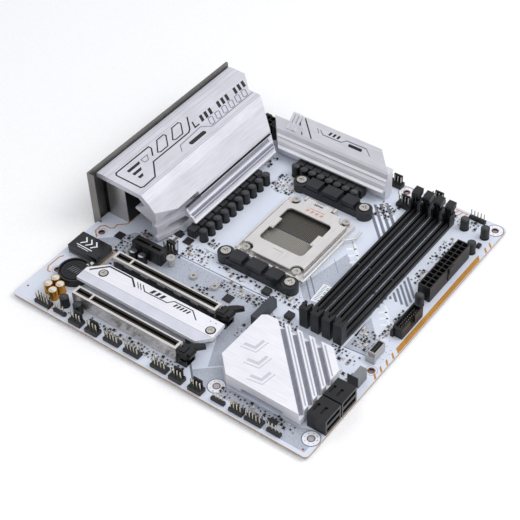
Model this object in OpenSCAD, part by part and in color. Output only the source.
// Micro-ATX computer mainboard, socketed processor, four memory slots.
// Board coordinates: x from the rear edge to the front edge, y from the
// bottom edge to the top edge, z up from the component face of the board.

/* [Board] */
// Board size from the rear edge to the front edge
board_x = 243.84; // [170:0.01:305]
// Board size from the bottom edge to the top edge
board_y = 243.84; // [170:0.01:305]
// Thickness of the printed circuit board
board_t = 1.57; // [1:0.01:2.4]
// Radius of the four board corners
corner_r = 3; // [0.5:0.5:6]
// Diameter of the mounting holes
mount_d = 3.96; // [3:0.01:5]
// Length of the solder tails below the board
tail_len = 2.0; // [1:0.1:3]

/* [Rear panel] */
// Outside width of the shield along the board edge
shield_w = 158.3; // [140:0.1:160]
// Outside height of the shield
shield_h = 46.2; // [40:0.1:50]
// Thickness of the shield sheet
shield_t = 0.6; // [0.3:0.1:1.2]
// Height of the flat top of the rear cover
cover_top = 40; // [34:0.5:44]

/* [Processor socket] */
// Socket centre from the rear edge
socket_x = 128.7; // [110:0.1:140]
// Socket centre from the bottom edge
socket_y = 151.2; // [140:0.1:165]
// Width of the processor opening in the load plate
well_x = 37.2; // [30:0.1:45]
// Height of the processor opening in the load plate
well_y = 37.5; // [30:0.1:45]
// Screw spacing of the cooler brackets along x
bracket_dx = 54; // [50:0.1:60]
// Screw spacing of the cooler brackets along y
bracket_dy = 90; // [80:0.1:100]
// Diameter of the retention lever wire
wire_d = 1.9; // [1.4:0.1:2.6]

/* [Memory slots] */
// Distance from one memory slot to the next
dimm_pitch = 8.88; // [8:0.01:10]
// Width of the end towers of a slot
dimm_w = 6.4; // [5.5:0.1:7.6]
// Height of the long rails of a slot
dimm_h = 5.2; // [4:0.1:9]
// Width of the slit for the module
dimm_slit = 1.5; // [1.2:0.1:2]

/* [Expansion slots] */
// Length of a full-size expansion slot
slot_len = 89; // [60:0.5:95]
// Width of an expansion slot
slot_w = 7.6; // [6.5:0.1:9]
// Height of an expansion slot
slot_h = 11.25; // [10:0.05:12.5]
// Distance between neighbouring slot positions
slot_pitch = 20.32; // [20:0.01:21]

/* [Heatsinks] */
// Top height of the storage heatsink
storage_top = 9.4; // [7:0.1:12]
// Top height of the chipset heatsink
chipset_top = 12; // [8:0.1:16]
// Depth of the slanted grooves in the chipset heatsink
groove_deep = 5.2; // [2:0.1:7]
// Width of each slanted groove
groove_wide = 3.6; // [1:0.1:4.5]
// Distance between slanted grooves, measured as x + y
groove_pitch = 9.6; // [8:0.1:14]
// Height of the highest edge of the top heatsink
crown_z = 32; // [24:0.5:38]

/* [View] */
// Name of the one sub-part to draw, or all of them

/* [Hidden] */
fine = 48;
round_n = 32;
small = 24;
bit = 0.02;
mount_r = mount_d / 2;
rear_out = 3.5;
shield_y0 = 87.2;
shield_z0 = -2.9;
shield_y1 = shield_y0 + shield_w;
shield_z1 = shield_z0 + shield_h;
origin_shift = [-(board_x - rear_out) / 2, -shield_y1 / 2, board_t + tail_len];
mount_holes = [
  [10.16, 34.29], [10.16, 80.01], [10.16, 214.63], [165.1, 80.01],
  [165.1, 13.97], [165.1, 237.49], [237.49, 13.97], [237.49, 80.01],
  [237.49, 237.49]
];
bracket_c = [126.85, 153.57];
bracket_xy = [
  [bracket_c[0] - bracket_dx / 2, bracket_c[1] - bracket_dy / 2],
  [bracket_c[0] + bracket_dx / 2, bracket_c[1] - bracket_dy / 2],
  [bracket_c[0] - bracket_dx / 2, bracket_c[1] + bracket_dy / 2],
  [bracket_c[0] + bracket_dx / 2, bracket_c[1] + bracket_dy / 2]
];
frame_screw_dx = 42.8;
frame_screw_dy = 59.8;
frame_xy = [
  [socket_x - frame_screw_dx / 2, socket_y - frame_screw_dy / 2],
  [socket_x + frame_screw_dx / 2, socket_y - frame_screw_dy / 2],
  [socket_x - frame_screw_dx / 2, socket_y + frame_screw_dy / 2],
  [socket_x + frame_screw_dx / 2, socket_y + frame_screw_dy / 2]
];
well_c = [126.9, 152.8];
plate_hinge = [186.6, 3.9];
lever_pivot = [117.2, 3.5];
dimm_x = [for (i = [0:3]) 180.6 + i * dimm_pitch];
dimm_y0 = 86.2;
dimm_y1 = 227.5;
latch_pivot = [223.6, 3.4];
slot_x0 = 42.4;
slot_1_y = 60.2;
slot_2_y = slot_1_y - 2 * slot_pitch;
slot_3_y = slot_1_y + slot_pitch;
key_x = slot_x0 + 14.3;
clip_pivot = [135.2, 2.6];
standoff_y = 81.2;
header_list = [
  [25.2, 5.0, 5, 2], [86.4, 5.0, 5, 2], [103.7, 5.0, 5, 2], [126.4, 5.0, 5, 2],
  [201.6, 5.0, 5, 2], [188.2, 5.0, 4, 2], [40.4, 4.4, 4, 1], [173.9, 4.4, 4, 1],
  [216.9, 4.4, 4, 1], [222.2, 239.4, 5, 1]
];
fan_list = [
  [55.6, 4.2], [70.0, 4.2], [141.2, 4.2], [156.8, 4.2], [154.8, 240.0],
  [171.4, 223.6], [189.0, 240.4], [63.6, 90.7]
];
groove_at = 121.7;
storage_xy = [[46.2, 43], [138.4, 42.8]];
stage_y = [for (i = [0:9]) 115.0 + i * 8.12];
row_x = [for (i = [0:7]) 87.8 + i * 7.3];
deck_t = 4.0;

// ---------- helpers ----------

module block(a, b) {
  translate(a) cube(b - a);
}

module prism_z(points, z0, z1) {
  translate([0, 0, z0]) linear_extrude(z1 - z0) polygon(points);
}

module prism_y(points, y0, y1) {
  translate([0, y1, 0]) rotate([90, 0, 0]) linear_extrude(y1 - y0) polygon(points);
}

module prism_x(points, x0, x1) {
  translate([x0, 0, 0]) rotate([90, 0, 90]) linear_extrude(x1 - x0) polygon(points);
}

module post(x, y, r, z0, z1) {
  translate([x, y, z0]) cylinder(r = r, h = z1 - z0, $fn = round_n);
}

module rod_x(x0, x1, y, z, r) {
  translate([x0, y, z]) rotate([0, 90, 0]) cylinder(r = r, h = x1 - x0, $fn = small);
}

module rod_y(x, y0, y1, z, r) {
  translate([x, y1, z]) rotate([90, 0, 0]) cylinder(r = r, h = y1 - y0, $fn = small);
}

module round_block(a, b, r) {
  block([a[0] + r, a[1], a[2]], [b[0] - r, b[1], b[2]]);
  block([a[0], a[1] + r, a[2]], [b[0], b[1] - r, b[2]]);
  for (x = [a[0] + r, b[0] - r])
    for (y = [a[1] + r, b[1] - r])
      translate([x, y, a[2]]) cylinder(r = r, h = b[2] - a[2], $fn = fine);
}

module can(x, y, r, h) {
  translate([x, y, 0]) cylinder(r = r, h = h, $fn = round_n);
  translate([x, y, 0]) cylinder(r = r + 0.25, h = 0.8, $fn = round_n);
}

module place() {
  translate(origin_shift) children();
}

// ---------- board ----------

module pcb() {
  color([0.93, 0.94, 0.97])
  place() difference() {
    round_block([0, 0, -board_t], [board_x, board_y, 0], corner_r);
    for (p = mount_holes) post(p[0], p[1], mount_r, -board_t - 1, 1);
    for (p = bracket_xy) post(p[0], p[1], 2.0, -board_t - 1, 1);
    for (p = frame_xy) post(p[0], p[1], 1.9, -board_t - 1, 1);
  }
}

module socket_backplate() {
  top = -board_t;
  low = top - 1.6;
  color([0.3, 0.3, 0.32])
  place() difference() {
    round_block([94.8, 103.6, low], [158.9, 203.6, top], 5);
    round_block([113.8, 135, low - 1], [143.6, 167.4, top + 1], 3);
    for (p = bracket_xy) post(p[0], p[1], 1.7, low - 1, top + 1);
    for (p = frame_xy) post(p[0], p[1], 1.5, low - 1, top + 1);
  }
}

module tail_grid(x0, y0, nx, ny, dx, dy) {
  for (i = [0:nx - 1])
    for (j = [0:ny - 1])
      translate([x0 + i * dx, y0 + j * dy, -board_t - tail_len])
        cylinder(r = 0.5, h = tail_len, $fn = 16);
}

module rear_tails() {
  color([0.75, 0.76, 0.78])
  place() {
    tail_grid(6, 102, 3, 6, 5.5, 18);
    tail_grid(30, 234, 5, 1, 8.8, 1);
  }
}

module memory_tails() {
  color([0.75, 0.76, 0.78])
  place() for (x = dimm_x) tail_grid(x, 92, 1, 8, 1, 18.2);
}

module power_tails() {
  color([0.75, 0.76, 0.78])
  place() tail_grid(229.3, 155, 2, 12, 4.2, 4.2);
}

module header_tails() {
  color([0.75, 0.76, 0.78])
  place() tail_grid(20, 3.2, 14, 2, 15.2, 2.54);
}

// ---------- rear panel ----------

module port_window(y0, y1, z0, z1) {
  block([-rear_out - 1, y0, z0], [0, y1, z1]);
}

module port_round(y, z, r) {
  rod_x(-rear_out - 1, 0, y, z, r);
}

module io_shield() {
  x0 = -2.5;
  y0 = shield_y0;
  y1 = shield_y1;
  z0 = shield_z0;
  z1 = shield_z1;
  color([0.62, 0.61, 0.6])
  place() difference() {
    union() {
      block([x0, y0, z0], [x0 + shield_t, y1, z1]);
      block([-rear_out, y0, z0], [-0.3, y0 + shield_t, z1]);
      block([-rear_out, y0, 0.3], [3.2, y0 + shield_t, z1]);
      block([-rear_out, y1 - shield_t, z0], [-1.7, y1, z1]);
      block([-rear_out, y0, z1 - shield_t], [-1.7, y1, z1]);
      block([-rear_out, y0, z0], [-1.0, y1, z0 + shield_t]);
    }
    for (y = [105.4, 117.6])
      for (z = [6.2, 16.6, 27]) port_round(y, z, 4.3);
    for (z = [11, 24]) port_round(131.4, z, 3.4);
    port_window(139.2, 155.8, 0.4, 14.6);
    for (z = [17.2, 24.2]) port_window(140.6, 154.4, z, z + 5.9);
    for (y = [159.6, 177.6])
      for (z = [2, 9.2, 17.2, 24.2]) port_window(y, y + 13.8, z, z + 5.9);
    port_window(196.6, 212.4, 2.4, 8.4);
    port_window(196.2, 212.8, 16.4, 22.4);
    port_window(218.4, 227.8, 2.2, 6.2);
    port_window(216.2, 230, 10, 15.9);
  }
}

module audio_jacks() {
  color([0.12, 0.12, 0.13])
  place() difference() {
    union() {
      block([-1.8, 99.4, 0], [19.4, 123.6, 32.4]);
      for (y = [105.4, 117.6])
        for (z = [6.2, 16.6, 27]) rod_x(-3.3, 0, y, z, 3.9);
    }
    for (y = [105.4, 117.6])
      for (z = [6.2, 16.6, 27]) rod_x(-4, 11, y, z, 1.8);
  }
}

module wifi_connectors() {
  color([0.83, 0.66, 0.3])
  place() difference() {
    union() {
      block([5.6, 127.6, 0], [7.4, 135.2, 28.4]);
      block([5.6, 127.6, 0], [16.0, 135.2, 1.2]);
      for (z = [11, 24]) rod_x(-3.4, 6.2, 131.4, z, 3.1);
      for (z = [11, 24]) block([1, 128, z - 3.4], [7, 134.8, z + 3.4]);
    }
    for (z = [11, 24]) rod_x(-4, 3, 131.4, z, 2.3);
  }
}

module usb_cell(y, z) {
  block([-3, y + 0.7, z + 0.45], [9, y + 13.1, z + 5.45]);
}

module lan_usb_stack() {
  color([0.78, 0.79, 0.8])
  place() difference() {
    block([-1.8, 139.4, 0], [19.2, 155.6, 31.6]);
    block([-3, 141.3, 2.2], [10, 153.7, 9.6]);
    block([-3, 144.4, 9.5], [10, 150.6, 12.4]);
    for (z = [17.2, 24.2]) usb_cell(140.6, z);
  }
}

module port_shells() {
  color([0.78, 0.79, 0.8])
  place() {
    for (y = [159.6, 177.6]) difference() {
      block([-1.8, y - 0.2, 0], [17.8, y + 14, 31]);
      for (z = [2, 9.2, 17.2, 24.2]) usb_cell(y, z);
    }
    difference() {
      block([-1.8, 216, 0], [16, 230.2, 17]);
      round_block_x([-3, 218.7, 2.6], [9, 227.5, 5.8], 1.5);
      usb_cell(216.2, 10);
    }
    difference() {
      block([2.4, 98.8, 0], [19.4, 124.2, 33]);
      block([2.3, 99.4, -1], [19.5, 123.6, 32.4]);
    }
  }
}

module display_ports() {
  color([0.74, 0.75, 0.76])
  place() difference() {
    block([-1.8, 195.8, 0], [17, 213.2, 24]);
    block([-3, 197, 3.1], [9, 212, 7.8]);
    block([-3, 196.6, 17], [9, 212.4, 21.8]);
  }
}

module round_block_x(a, b, r) {
  block([a[0], a[1] + r, a[2]], [b[0], b[1] - r, b[2]]);
  for (y = [a[1] + r, b[1] - r]) rod_x(a[0], b[0], y, a[2] + r, r);
}

module port_tongues() {
  color([0.1, 0.2, 0.45])
  place() {
    for (z = [17.2, 24.2]) block([0, 142, z + 3.5], [9, 153, z + 5.0]);
    for (y = [159.6, 177.6])
      for (z = [2, 9.2, 17.2, 24.2]) block([0, y + 1.4, z + 3.5], [9, y + 12.4, z + 5.0]);
    block([0, 217.6, 13.5], [9, 228.6, 15.0]);
    block([0, 199, 5.0], [9, 210, 6.2]);
    block([0, 198.6, 18.8], [9, 210.4, 20.0]);
    block([0, 220.2, 3.9], [9, 226, 4.5]);
    block([232.4, 88, 2.6], [233.8, 97.2, 7.6]);
  }
}

// ---------- power stage and its heatsinks ----------

module rear_cover() {
  y0 = 94.2;
  y1 = shield_y1 - 0.4;
  z1 = cover_top;
  profile = [
    [-1.4, z1 - 0.8], [-0.6, z1], [4.2, z1 + 0.3], [39.6, z1 - 1.6],
    [42.3, z1 - 3.8], [45.0, z1 - 6.0], [56.4, z1 - 18.4], [57.4, z1 - 19.9],
    [56.6, z1 - 20.9], [58.6, z1 - 21.2], [60.8, z1 - 24.6], [61.8, z1 - 25.2],
    [61.6, z1 - 26.4], [63.6, z1 - 27.0], [65.6, z1 - 29.8], [66.9, z1 - 30.4],
    [66.9, z1 - 31.2], [62.4, z1 - 31.2], [62.4, 1.6], [46.8, 1.6],
    [46.8, 18], [32.8, 23.6], [32.8, 24.8], [41.6, 29.6], [41.4, 30.6],
    [37.0, z1 - deck_t - 1.2], [-0.4, z1 - deck_t], [-1.4, z1 - deck_t]
  ];
  color([0.86, 0.87, 0.89])
  place() difference() {
    prism_y(profile, y0, y1);
    prism_z([[46.6, 80], [80, 80], [80, 117.4], [57.6, 117.4]], -5, 60);
    prism_z([[13.8, 260], [13.8, 245.6], [28.6, 231.6], [38.6, 231.6],
             [66.9, 212.2], [80, 212.2], [80, 260]], -5, 60);
    for (z = [9.4, 19.4])
      prism_y([[48.8, z - 4.6], [55.4, z - 4.6], [60.2, z + 0.6], [60.2, z + 2.6],
               [53.6, z + 2.6], [48.8, z - 2.6]], y0 - 1, y0 + 40);
  }
}

module power_stages() {
  color([0.14, 0.14, 0.15])
  place() {
    for (y = stage_y) block([52, y - 2.6, 0], [58, y + 2.6, 1]);
    for (x = row_x) block([x - 2.6, 222.4, 0], [x + 2.6, 228.4, 1]);
  }
}

module power_chokes() {
  color([0.22, 0.22, 0.23])
  place() {
    for (y = stage_y) block([62.8, y - 3.3, 0], [69.6, y + 3.3, 7.2]);
    for (x = row_x) block([x - 3.2, 212.6, 0], [x + 3.2, 219.2, 7.2]);
  }
}

module capacitors() {
  color([0.13, 0.13, 0.14])
  place() {
    for (y = stage_y) can(75.2, y - 0.2, 3.1, 9);
    for (x = row_x) can(x, 208.2, 3.1, 9);
    for (p = [[38.2, 12.0], [50.2, 11.9]]) can(p[0], p[1], 3.2, 8);
    for (p = [[46.4, 73.0], [54.4, 72.8]]) can(p[0], p[1], 3.1, 7);
    for (p = [[218.6, 227.4], [234.8, 227.2], [234.4, 209.2], [231.6, 146.6]])
      can(p[0], p[1], 3.1, 9);
  }
}

module thermal_pads() {
  color([0.62, 0.66, 0.72])
  place() {
    block([51, 112.4, 1], [59.4, 191.4, 1.6]);
    block([84.6, 221.6, 1], [142.4, 229.2, 1.6]);
    block([56, 32.4, 5.6], [134, 50.6, storage_top - 2.8]);
    block([184, 40, 1.8], [200, 56, 2.6]);
  }
}

module crossed_screw(x, y, z) {
  difference() {
    union() {
      post(x, y, 2.7, z - 0.9, z + 0.3);
      post(x, y, 1.5, 3.6, z - 0.9);
    }
    block([x - 0.35, y - 1.6, z - 0.5], [x + 0.35, y + 1.6, z + 1]);
    block([x - 1.6, y - 0.35, z - 0.5], [x + 1.6, y + 0.35, z + 1]);
  }
}

module heatsink_fasteners() {
  low = -board_t - 1.6;
  color([0.6, 0.6, 0.62])
  place() {
    for (p = storage_xy) crossed_screw(p[0], p[1], storage_top);
    for (p = [[54, 104], [54, 205], [80, 225.4], [150, 225.4], [174, 60], [212, 33]])
      post(p[0], p[1], 2.6, low, -board_t);
  }
}

module crown_profile(top_y, top_z) {
  prism_x([
    [216.4, 9.2], [221.0, 9.2], [221.0, 1.6], [229.8, 1.6], [229.8, 20.6],
    [top_y, top_z - 1.6], [top_y, top_z], [top_y - 0.8, top_z + 0.4],
    [225.2, 23.4], [223.8, 21.6], [222.6, 18.4], [221.0, 17.2],
    [221.6, 15.9], [219.6, 14.2], [218.6, 12.4], [219.0, 11.6], [216.4, 10.4]
  ], 50, 157);
}

module top_heatsink() {
  color([0.86, 0.87, 0.89])
  place() difference() {
    union() {
      intersection() {
        crown_profile(229.8, 27.4);
        block([50, 200, 0], [80, 260, 60]);
      }
      intersection() {
        crown_profile(235.4, crown_z);
        block([76.4, 200, 0], [157, 260, 60]);
      }
    }
    prism_z([[40, 200], [80, 200], [52.4, 231.6], [40, 231.6]], -5, 60);
    prism_z([[142.6, 236.4], [158, 223.0], [158, 240]], 22.5, 60);
  }
  color([0.86, 0.87, 0.89])
  place() for (i = [0:2])
    prism_x([
      [225.2, 23.4], [225.2, 24.2], [234.6, crown_z + 1 - 0.6 * abs(i - 1)],
      [235.4, crown_z + 0.6], [235.4, crown_z - 1.6], [229.8, 22]
    ], 67.2 + i * 3.1, 69.4 + i * 3.1);
}

module eps_connectors() {
  color([0.12, 0.12, 0.13])
  place() for (x = [29.4, 48.4]) difference() {
    union() {
      block([x, 232.4, 0], [x + 17.8, 242, 13]);
      block([x + 6.4, 242, 8.6], [x + 11.4, 243.2, 13]);
    }
    for (i = [0:3])
      for (j = [0:1])
        block([x + 0.9 + i * 4.1, 233.3 + j * 4.1, 4], [x + 4.5 + i * 4.1, 236.9 + j * 4.1, 14]);
  }
}

// ---------- processor socket ----------

module socket_housing() {
  color([0.16, 0.16, 0.17])
  place() difference() {
    round_block([104.4, 126.6, 0], [149.4, 178.6, 4.0], 1.5);
    block([106.6, 130.4, 1.6], [147.2, 175.2, 5]);
  }
}

module socket_contacts() {
  color([0.55, 0.53, 0.48])
  place() {
    block([107, 130.8, 1.6], [146.8, 151.9, 2.3]);
    block([107, 153.7, 1.6], [146.8, 174.8, 2.3]);
  }
}

module socket_frame() {
  color([0.78, 0.78, 0.78])
  place() difference() {
    union() {
      block([99.6, 118.6, 0.4], [156.2, 183.6, 1.8]);
      block([99.6, 119, 1.8], [100.8, 183.6, 4.2]);
      block([155, 122, 1.8], [156.2, 183.6, 4.2]);
      for (p = frame_xy) post(p[0], p[1], 2.6, 0, 4.4);
      for (x = [112, 136.5]) block([x, 183.6, 0.4], [x + 1.6, 188.6, 1.8]);
      for (x = [112, 136.5]) block([x, 184.4, 1.8], [x + 1.6, 188.4, 5.8]);
      block([103.2, 114.6, 0.4], [105.0, 118.6, 1.8]);
      block([152.2, 114.6, 0.4], [154.0, 118.6, 1.8]);
      block([103.2, 114.9, 1.8], [105.0, 118.6, 5.5]);
      block([152.2, 114.9, 1.8], [154.0, 118.6, 5.5]);
    }
    block([103.6, 125.8, -1], [150.2, 178.9, 6]);
    for (p = frame_xy) post(p[0], p[1], 1.7, -1, 6);
    rod_x(100, 160, lever_pivot[0], lever_pivot[1], wire_d / 2 + 0.06);
    rod_x(108, 142, plate_hinge[0], plate_hinge[1], 1.16);
  }
}

module load_plate() {
  z0 = 4.9;
  z1 = 6.1;
  y1 = 182.6;
  color([0.86, 0.85, 0.84])
  place() {
    difference() {
      union() {
        round_block([102.6, 120.4, z0], [153.4, y1, z1], 1.2);
        block([102.6, 126.5, 2.6], [103.4, 176.2, z0]);
        block([152.6, 126.5, 2.6], [153.4, 176.2, z0]);
      }
      round_block([well_c[0] - well_x / 2, well_c[1] - well_y / 2, z0 - 1],
                  [well_c[0] + well_x / 2, well_c[1] + well_y / 2, z1 + 1], 3.6);
      for (p = frame_xy) post(p[0], p[1], 5.2, z0 - 1, z1 + 1);
      for (s = [0, 1]) block([98 + s * 50.4, 114, z0 - 1], [106.4 + s * 52, 125.4, z1 + 1]);
      block([149.6, 177, z0 - 1], [160, 190, z1 + 1]);
      block([98, 177, z0 - 1], [107.6, 190, z1 + 1]);
    }
    for (s = [-1, 1]) {
      tab = well_c[0] + s * (well_x / 2 - 1.2);
      block([tab - 1.7, 147.4, z0], [tab + 1.7, 158.6, z1]);
      round_block([tab - 0.5, 148.6, z1], [tab + 1.1, 157.4, z1 + 0.4], 0.5);
    }
    for (x = [114.4, 128.8]) {
      block([x, y1 - bit, z0], [x + 6.9, plate_hinge[0], z1]);
      difference() {
        rod_x(x, x + 6.9, plate_hinge[0], plate_hinge[1], 2.2);
        rod_x(x - 1, x + 8, plate_hinge[0], plate_hinge[1], 1.1);
      }
    }
    rod_x(112.02, 138.08, plate_hinge[0], plate_hinge[1], 1.1);
  }
}

module wire_run(x, y, z, heading, len) {
  translate([x, y, z]) rotate([0, 0, -heading]) rotate([-90, 0, 0])
    cylinder(r = wire_d / 2, h = len, $fn = small);
}

module wire_elbow(x, y, z) {
  translate([x, y, z - wire_d / 2 - 0.12])
    cylinder(r = wire_d / 2 + 0.2, h = wire_d + 0.24, $fn = small);
}

module lever_wire() {
  r = wire_d / 2;
  y = lever_pivot[0];
  z = lever_pivot[1];
  arm_x = 158.4;
  arm_end = 166.6;
  out = 42;
  step = 8.4;
  crank = 0.9;
  bend_x = arm_x + step * sin(out);
  bend_y = arm_end + step * cos(out);
  rod_x(101.4, 118.6, y, z, r);
  rod_x(118.2, 119.4, y - crank / 2, z + crank / 2, 1.7);
  rod_x(119.0, 136.6, y - crank, z + crank, r);
  rod_x(136.2, 137.4, y - crank / 2, z + crank / 2, 1.7);
  rod_x(137.0, arm_x, y, z, r);
  wire_elbow(arm_x, y, z);
  wire_run(arm_x, y, z, 0, arm_end - y);
  wire_elbow(arm_x, arm_end, z);
  wire_run(arm_x, arm_end, z, out, step);
  wire_elbow(bend_x, bend_y, z);
  wire_run(bend_x, bend_y, z, -6, 7.2);
}

module socket_lever() {
  color([0.88, 0.88, 0.86])
  place() lever_wire();
}

module socket_screws() {
  color([0.82, 0.82, 0.8])
  place() for (p = frame_xy) difference() {
    union() {
      post(p[0], p[1], 3.1, 4.4, 6.0);
      post(p[0], p[1], 1.45, -board_t - 1.4, 4.4);
    }
    translate([p[0], p[1], 5.0]) cylinder(r = 1.4, h = 2, $fn = 6);
  }
}

module bracket_body(s) {
  cx = bracket_c[0];
  cy = bracket_c[1] + s * bracket_dy / 2;
  x0 = cx - bracket_dx / 2;
  x1 = cx + bracket_dx / 2;
  in_y = cy - s * 4.6;
  out_y = cy + s * 5.2;
  lo = min(in_y, out_y);
  hi = max(in_y, out_y);
  difference() {
    union() {
      block([x0, lo, 0], [x1, hi, 6.2]);
      for (x = [x0, x1]) post(x, cy, 6.0, 0, 7.4);
      for (p = [[6.5, 10.5], [20.5, 13], [37, 10.5]])
        block([x0 + p[0], lo + 0.4, 6.2], [x0 + p[0] + p[1], hi - 0.4, 10.2]);
    }
    for (x = [x0, x1]) post(x, cy, 1.75, -1, 12);
    for (x = [x0, x1]) post(x, cy, 4.0, 6.4, 12);
    block([x0 + 33.5, lo - 1, 6.2], [x0 + 37, hi + 1, 12]);
  }
}

module cooler_brackets() {
  color([0.17, 0.17, 0.18])
  place() {
    bracket_body(-1);
    bracket_body(1);
  }
}

module bracket_screws() {
  color([0.8, 0.8, 0.78])
  place() for (p = bracket_xy) difference() {
    union() {
      post(p[0], p[1], 3.6, 6.4, 8.6);
      post(p[0], p[1], 1.65, -board_t - 1.4, 6.4);
    }
    block([p[0] - 0.5, p[1] - 2.2, 7.6], [p[0] + 0.5, p[1] + 2.2, 9]);
    block([p[0] - 2.2, p[1] - 0.5, 7.6], [p[0] + 2.2, p[1] + 0.5, 9]);
  }
}

// ---------- memory slots ----------

module dimm_body(x) {
  w = dimm_w / 2;
  top = 2.35;
  difference() {
    union() {
      block([x - w, dimm_y0, 0], [x + w, dimm_y1, 2.7]);
      block([x - top, dimm_y0 + 1, 0], [x + top, dimm_y1 - 1, dimm_h]);
      block([x - w, dimm_y0, 0], [x + w, dimm_y0 + 6, 17.2]);
      block([x - w, dimm_y0, 15.2], [x - w + 1.6, dimm_y0 + 7.4, 17.2]);
      block([x + w - 1.6, dimm_y0, 15.2], [x + w, dimm_y0 + 7.4, 17.2]);
      block([x - w, 220.4, 0], [x + w, dimm_y1, 11.8]);
    }
    block([x - dimm_slit / 2, dimm_y0 + 3, 1.4], [x + dimm_slit / 2, 151, 20]);
    block([x - dimm_slit / 2, 152.2, 1.4], [x + dimm_slit / 2, 221, 20]);
    block([x - 1.7, 220.2, 1.2], [x + 1.7, dimm_y1 + 1, 20]);
    rod_x(x - w - 1, x + w + 1, latch_pivot[0], latch_pivot[1], 0.95);
  }
}

module dimm_slots() {
  color([0.13, 0.13, 0.14])
  place() for (x = dimm_x) dimm_body(x);
}

module dimm_latch(x) {
  y = latch_pivot[0];
  color([0.2, 0.2, 0.21])
  place() {
    difference() {
      prism_x([
        [y - 1.6, 2.0], [y + 1.4, 2.0], [y + 1.8, 5.0], [y + 2.4, 12.9],
        [y + 5.4, 14.6], [y + 5.8, 18.6], [y - 1.4, 17.4], [y - 2.0, 13.4],
        [y - 2.4, 11.4], [y - 2.4, 8.6], [y - 1.6, 7.6]
      ], x - 1.4, x + 1.4);
      block([x - 0.8, y - 3, 8.6], [x + 0.8, y - 0.8, 19]);
    }
    prism_x([
      [y - 1.2, 13.2], [y + 2.4, 13.2], [y + 5.4, 14.8], [y + 5.8, 18.6],
      [y + 1.0, 18.0], [y - 1.4, 16.4]
    ], x - 2.9, x + 2.9);
    rod_x(x - dimm_w / 2 + 0.1, x + dimm_w / 2 - 0.1, y, latch_pivot[1], 0.9);
  }
}

module dimm_latch_1() {
  dimm_latch(dimm_x[0]);
}

module dimm_latch_2() {
  dimm_latch(dimm_x[1]);
}

module dimm_latch_3() {
  dimm_latch(dimm_x[2]);
}

module dimm_latch_4() {
  dimm_latch(dimm_x[3]);
}

// ---------- expansion slots ----------

module slot_body(y, x1, wall) {
  w = slot_w / 2 - wall;
  difference() {
    block([slot_x0 + wall, y - w, 0], [x1 - wall, y + w, slot_h]);
    block([slot_x0 + 2, y - 1.0, 3.4], [key_x - 0.9, y + 1.0, 12]);
    block([key_x + 0.9, y - 1.0, 3.4], [x1 - 2, y + 1.0, 12]);
  }
}

module slot_shell(y, x1) {
  w = slot_w / 2;
  t = 0.5;
  difference() {
    block([slot_x0, y - w, 0.6], [x1, y + w, slot_h + t]);
    block([slot_x0 + t, y - w + t, 0], [x1 - t, y + w - t, slot_h]);
    block([slot_x0 + 1.9, y - 2.0, 8], [key_x - 0.8, y + 2.0, 13]);
    block([key_x + 0.8, y - 2.0, 8], [x1 - 1.9, y + 2.0, 13]);
  }
}

module clip_cradle(y) {
  x = slot_x0 + slot_len;
  difference() {
    union() {
      block([x - 0.6, y - 3, 0], [x + 0.2, y + 3, 0.5]);
      block([x + 0.1, y - 4.8, 0], [x + 8.6, y + 4.8, 4.8]);
    }
    block([x + 1.2, y - 3.4, 0.5], [x + 9, y + 3.4, 6]);
    rod_y(clip_pivot[0], y - 6, y + 6, clip_pivot[1], 0.85);
  }
}

module pcie_slot_1() {
  color([0.12, 0.12, 0.13])
  place() {
    slot_body(slot_1_y, slot_x0 + slot_len, 0.5);
    clip_cradle(slot_1_y);
  }
}

module pcie_slot_2() {
  color([0.12, 0.12, 0.13])
  place() {
    slot_body(slot_2_y, slot_x0 + slot_len, 0.5);
    clip_cradle(slot_2_y);
  }
}

module slot_shells() {
  color([0.82, 0.81, 0.8])
  place() for (y = [slot_1_y, slot_2_y]) slot_shell(y, slot_x0 + slot_len);
}

module pcie_slot_x1() {
  color([0.12, 0.12, 0.13])
  place() slot_body(slot_3_y, slot_x0 + 25, 0);
}

module pcie_clip(y) {
  x = clip_pivot[0];
  color([0.15, 0.15, 0.16])
  place() {
    difference() {
      prism_y([
        [x - 1.5, 1.2], [x + 1.4, 1.2], [x + 2.6, 3.2], [x + 6.4, 6.4],
        [x + 8.2, 10.4], [x + 7.0, 12.0], [x + 1.0, 12.0], [x - 2.6, 11.4],
        [x - 2.9, 9.6], [x - 1.9, 8.6]
      ], y - 3.1, y + 3.1);
      block([x - 4, y - 1.0, 9.0], [x - 0.6, y + 1.0, 13]);
      block([x + 2.6, y - 4, 8.8], [x + 4.2, y + 4, 13]);
    }
    prism_y([
      [x - 1.2, 7.0], [x + 4.8, 7.0], [x + 6.6, 10.0], [x + 5.6, 11.6], [x - 2.0, 11.0]
    ], y - 4.6, y + 4.6);
    prism_z([
      [x - 0.6, y + 3.0], [x + 5.0, y + 3.0], [x + 5.6, y + 5.4], [x + 9.9, y + 10.2],
      [x + 8.4, y + 11.4], [x + 4.6, y + 9.8], [x + 0.2, y + 6.4]
    ], 7.2, 10.4);
    rod_y(x, y - 4.7, y + 4.7, clip_pivot[1], 0.8);
  }
}

module pcie_latch_1() {
  pcie_clip(slot_1_y);
}

module pcie_latch_2() {
  pcie_clip(slot_2_y);
}

// ---------- storage ----------

module storage_heatsink() {
  outline = [
    [33.2, 30.2], [32.8, 41.0], [44.0, 51.6], [142.6, 52.2], [143.6, 38.2], [136.0, 29.8]
  ];
  color([0.88, 0.89, 0.91])
  place() difference() {
    prism_z(outline, storage_top - 2.8, storage_top);
    for (p = storage_xy) post(p[0], p[1], 1.6, 0, 20);
    for (p = storage_xy) post(p[0], p[1], 2.9, storage_top - 0.9, 20);
  }
}

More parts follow.
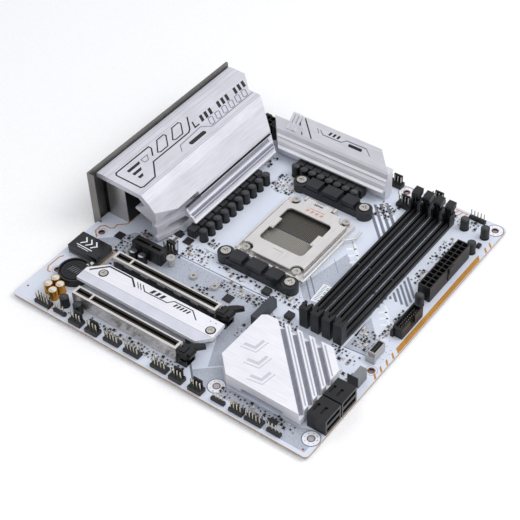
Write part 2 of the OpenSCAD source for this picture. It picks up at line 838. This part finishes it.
module storage_standoffs() {
  color([0.78, 0.74, 0.6])
  place() {
    for (p = storage_xy) post(p[0], p[1], 2.4, 0, 3.6);
    for (p = [[92.9, standoff_y], [111, standoff_y]]) difference() {
      post(p[0], p[1], 2.6, 0, 2.4);
      post(p[0], p[1], 1.1, 0.6, 3);
    }
    difference() {
      union() {
        post(72.8, 82, 2.4, 0, 6.4);
        post(72.8, 82, 3.2, 6.4, 7.6);
      }
      translate([72.8, 82, 6.9]) cylinder(r = 1.3, h = 2, $fn = 6);
    }
  }
}

module storage_socket(x0, y0, h) {
  difference() {
    block([x0, y0, 0], [x0 + 5.2, y0 + 22, h]);
    block([x0 - 1, y0 + 1.1, h - 3.0], [x0 + 3.8, y0 + 20.9, h - 1.3]);
  }
}

module storage_sockets() {
  color([0.25, 0.25, 0.28])
  place() {
    storage_socket(150.8, 69.0, 8);
    storage_socket(126.2, 31.0, 4.6);
  }
}

// ---------- chipset ----------

module chipset_heatsink() {
  outline = [
    [158.6, 70.8], [162.0, 73.2], [212.8, 73.8], [226.6, 60.0], [227.2, 17.0],
    [170.4, 17.4], [158.0, 29.8]
  ];
  color([0.9, 0.91, 0.93])
  place() difference() {
    prism_z(outline, 2.6, chipset_top);
    for (at = [for (i = [0:3]) groove_at + i * groove_pitch / 2])
      translate([at, at, chipset_top - groove_deep])
        rotate([0, 0, -45])
          translate([50, 0, 0])
            cube([110, groove_wide, groove_deep + 1]);
    block([182, 10, 2], [214, 24, 6]);
  }
}

module chipset_package() {
  color([0.2, 0.26, 0.22])
  place() {
    block([181, 37, 0], [203, 59, 1]);
    block([186, 42, 1], [198, 54, 1.8]);
  }
}

// ---------- front edge ----------

module atx_connector() {
  color([0.12, 0.12, 0.13])
  place() difference() {
    union() {
      block([226.9, 151.8, 0], [236.3, 203.4, 12.8]);
      block([236.3, 174.6, 8.4], [237.6, 180.6, 12.8]);
      block([236.3, 174.6, 2.0], [236.9, 180.6, 8.4]);
    }
    for (i = [0:1])
      for (j = [0:11])
        block([227.8 + i * 4.15, 152.8 + j * 4.2, 4], [231.4 + i * 4.15, 156.2 + j * 4.2, 14]);
  }
}

module usb_header() {
  color([0.12, 0.12, 0.13])
  place() difference() {
    union() {
      block([231.9, 113.2, 0], [239.3, 138.4, 8.8]);
      block([231.0, 111.8, 0], [233.2, 114.0, 5.5]);
    }
    block([233.0, 114.4, 1.6], [238.2, 137.2, 10]);
    block([237.5, 123.0, 3.4], [240, 128.6, 10]);
  }
}

module front_usb_c() {
  color([0.76, 0.74, 0.71])
  place() {
    difference() {
      block([230.6, 86.6, 0], [235.6, 98.6, 8.2]);
      block([231.2, 87.4, 2.6], [235.0, 97.8, 10]);
    }
    block([229.6, 84.8, 0], [236.4, 86.6, 5.4]);
  }
}

module grey_header() {
  color([0.45, 0.46, 0.47])
  place() {
    block([234, 63, 0], [238.9, 72.6, 9.6]);
    block([232.4, 63, 0], [234, 67, 6.4]);
    block([230.6, 64.6, 0], [232.4, 68.6, 4.2]);
  }
}

module sata_unit(y0) {
  difference() {
    block([229.8, y0, 0], [243.6, y0 + 16.2, 13.2]);
    for (z = [1.2, 7.2]) block([234, y0 + 1.4, z + 1.0], [244, y0 + 14.8, z + 4.2]);
    for (x = [231.4, 236.8]) block([x, y0 + 3.4, 12.0], [x + 2.0, y0 + 9.8, 14]);
  }
}

module sata_ports() {
  color([0.13, 0.13, 0.14])
  place() {
    sata_unit(20.6);
    sata_unit(37.8);
  }
}

// ---------- audio corner ----------

module audio_capacitors() {
  color([0.85, 0.62, 0.25])
  place() for (p = [[20.8, 22.4], [20.4, 15.6], [27.6, 19.6], [27.2, 12.8]])
    can(p[0], p[1], 3.1, 8);
}

module audio_cover() {
  color([0.08, 0.08, 0.09])
  place() difference() {
    block([4.8, 51.8, 0], [31.2, 68, 7.2]);
    block([5.4, 52.4, -1], [30.6, 67.4, 6.6]);
    block([8, 50, -1], [28, 53, 1.4]);
  }
}

module coin_holder() {
  color([0.14, 0.14, 0.15])
  place() difference() {
    union() {
      post(24.4, 37.0, 11.6, 0, 5.8);
      block([27.6, 44.6, 0], [32.6, 50.2, 5.4]);
    }
    post(24.4, 37.0, 10.3, 2.2, 8);
  }
}

module coin_cell() {
  color([0.8, 0.8, 0.8])
  place() {
    post(24.4, 37.0, 10.0, 2.2, 4.8);
    post(24.4, 37.0, 9.0, 4.8, 5.4);
  }
}

// ---------- headers and chips ----------

module header_base(x, y, nx, ny) {
  block([x - nx * 1.27, y - ny * 1.27, 0], [x + nx * 1.27, y + ny * 1.27, 2.54]);
}

module header_pins_at(x, y, nx, ny) {
  for (i = [0:nx - 1])
    for (j = [0:ny - 1])
      translate([x + (i - (nx - 1) / 2) * 2.54 - 0.32, y + (j - (ny - 1) / 2) * 2.54 - 0.32, 2.54])
        cube([0.64, 0.64, 5.8]);
}

module pin_headers() {
  color([0.12, 0.12, 0.13])
  place() for (h = header_list) header_base(h[0], h[1], h[2], h[3]);
}

module header_pins() {
  color([0.83, 0.78, 0.6])
  place() {
    for (h = header_list) header_pins_at(h[0], h[1], h[2], h[3]);
    for (f = fan_list) fan_pin_row(f[0], f[1]);
  }
}

module fan_header(x, y) {
  block([x - 5.1, y - 2.9, 0], [x + 5.1, y + 2.9, 3.0]);
  block([x - 3.4, y + 1.7, 3.0], [x + 3.4, y + 2.9, 8.6]);
}

module fan_headers() {
  color([0.12, 0.12, 0.13])
  place() for (f = fan_list) fan_header(f[0], f[1]);
}

module fan_pin_row(x, y) {
  for (i = [0:3])
    translate([x + (i - 1.5) * 2.54 - 0.32, y - 0.9, 3.0]) cube([0.64, 0.64, 6.4]);
}

module controller_chips() {
  color([0.14, 0.14, 0.15])
  place() {
    block([20.6, 81.4, 0], [26.6, 87.4, 1]);
    block([9, 56, 0], [16, 63, 1]);
    block([20, 55, 0], [25, 62, 3]);
    block([54.8, 106.8, 0], [60.6, 111.6, 1]);
    block([64.2, 104.2, 0], [70.2, 110.2, 1]);
    block([121.4, 75.6, 0], [127.6, 81.8, 1]);
    block([208.4, 8.4, 0], [214.4, 13.0, 1]);
    block([234.8, 215, 0], [237.6, 218.4, 2.4]);
  }
}

module small_chokes() {
  color([0.5, 0.49, 0.47])
  place() {
    block([139.6, 95.2, 0], [145, 100.6, 3]);
    block([165.4, 85.6, 0], [170.8, 91, 3]);
    block([56.6, 95.6, 0], [61.2, 100.2, 2.4]);
  }
}

pcb();
socket_backplate();
rear_tails();
memory_tails();
power_tails();
header_tails();
io_shield();
audio_jacks();
wifi_connectors();
lan_usb_stack();
port_shells();
display_ports();
port_tongues();
rear_cover();
top_heatsink();
power_stages();
power_chokes();
capacitors();
thermal_pads();
heatsink_fasteners();
eps_connectors();
socket_housing();
socket_contacts();
socket_frame();
load_plate();
socket_lever();
socket_screws();
cooler_brackets();
bracket_screws();
dimm_slots();
dimm_latch_1();
dimm_latch_2();
dimm_latch_3();
dimm_latch_4();
pcie_slot_1();
pcie_slot_2();
slot_shells();
pcie_slot_x1();
pcie_latch_1();
pcie_latch_2();
storage_heatsink();
storage_standoffs();
storage_sockets();
chipset_heatsink();
chipset_package();
atx_connector();
usb_header();
front_usb_c();
grey_header();
sata_ports();
audio_cover();
audio_capacitors();
coin_holder();
coin_cell();
pin_headers();
fan_headers();
header_pins();
controller_chips();
small_chokes();
